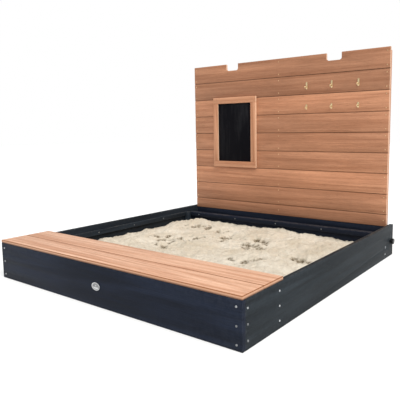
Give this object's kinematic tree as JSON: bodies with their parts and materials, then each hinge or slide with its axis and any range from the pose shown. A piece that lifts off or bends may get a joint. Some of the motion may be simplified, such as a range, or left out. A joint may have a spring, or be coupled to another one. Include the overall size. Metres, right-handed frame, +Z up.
{
  "type": "sandbox with cover",
  "caption": "Low timber sandbox with a lidded bench box at the front and a plank cover that folds up into a play wall with a chalkboard and hooks.",
  "frame": {"origin": "middle of the base, on the ground", "axes": "+X to the right, +Y from the bench to the standing cover, +Z up"},
  "size_m": [1.233, 1.2424, 0.96],
  "materials": {
    "stained_timber": "dark opaque stain",
    "brown_timber": "brown oiled softwood",
    "pale_timber": "light oiled softwood",
    "chalk_paint": "matt black board paint",
    "zinc_steel": "zinc plated",
    "yellow_zinc": "yellow zinc plated",
    "black_steel": "black powder coat",
    "brass": "bright brass",
    "black_plastic": "moulded black plastic",
    "ground_cloth": "woven ground cloth",
    "sand": "fine pale play sand"
  },
  "bodies": {
    "box": {"front_board": "stained_timber", "side_board_left": "stained_timber", "side_board_right": "stained_timber", "back_board": "stained_timber", "rear_rail": "stained_timber", "partition_board": "stained_timber", "hinge_rail": "stained_timber", "front_post_left": "stained_timber", "front_post_right": "stained_timber", "rear_post_left": "stained_timber", "rear_post_right": "stained_timber", "side_ledge_left": "stained_timber", "side_ledge_right": "stained_timber", "front_ledge": "stained_timber", "back_ledge": "stained_timber", "stop_block_left": "stained_timber", "stop_block_right": "stained_timber", "ground_sheet": "ground_cloth", "sand_bed": "sand", "oval_badge": "zinc_steel", "frame_screws": "zinc_steel", "ledge_bolts": "zinc_steel", "pivot_bolts": "zinc_steel", "pivot_nuts": "zinc_steel", "hinge_leaves_fixed": "zinc_steel", "hinge_pins": "zinc_steel"},
    "bench_lid": {"bench_plank_front": "pale_timber", "bench_plank_rear": "pale_timber", "bench_battens": "pale_timber", "bench_screws": "zinc_steel", "hinge_leaves_lid": "zinc_steel"},
    "cover": {"plank_1": "brown_timber", "plank_2": "brown_timber", "plank_3": "brown_timber", "plank_4": "brown_timber", "plank_5": "brown_timber", "plank_6": "brown_timber", "plank_7": "brown_timber", "plank_8": "brown_timber", "plank_9": "brown_timber", "cover_rail": "stained_timber", "cover_batten_left": "brown_timber", "cover_batten_mid": "brown_timber", "cover_batten_right": "brown_timber", "pivot_arm_left": "black_steel", "pivot_arm_right": "black_steel", "cover_screws": "yellow_zinc", "chalkboard": "chalk_paint", "chalk_rail_top": "pale_timber", "chalk_rail_bottom": "pale_timber", "chalk_stile_left": "pale_timber", "chalk_stile_right": "pale_timber", "hooks_upper": "brass", "hooks_lower": "brass"},
    "knob_left": {"lock_knob_left": "black_plastic", "lock_stud_left": "zinc_steel"},
    "knob_right": {"lock_knob_right": "black_plastic", "lock_stud_right": "zinc_steel"}
  },
  "joints": [
    {"name": "cover_fold", "type": "hinge", "parent": "box", "child": "cover", "pos_m": [0, 0.514, 0.054], "axis": [1, 0, 0], "range_deg": [0, 90]},
    {"name": "bench_lid_lift", "type": "hinge", "parent": "box", "child": "bench_lid", "pos_m": [0, -0.4032, 0.1455], "axis": [-1, 0, 0], "range_deg": [0, 95]},
    {"name": "knob_left_turn", "type": "hinge", "parent": "box", "child": "knob_left", "pos_m": [-0.6, 0.584, 0.07], "axis": [-1, 0, 0], "continuous": true},
    {"name": "knob_right_turn", "type": "hinge", "parent": "box", "child": "knob_right", "pos_m": [0.6, 0.584, 0.07], "axis": [1, 0, 0], "continuous": true}
  ]
}
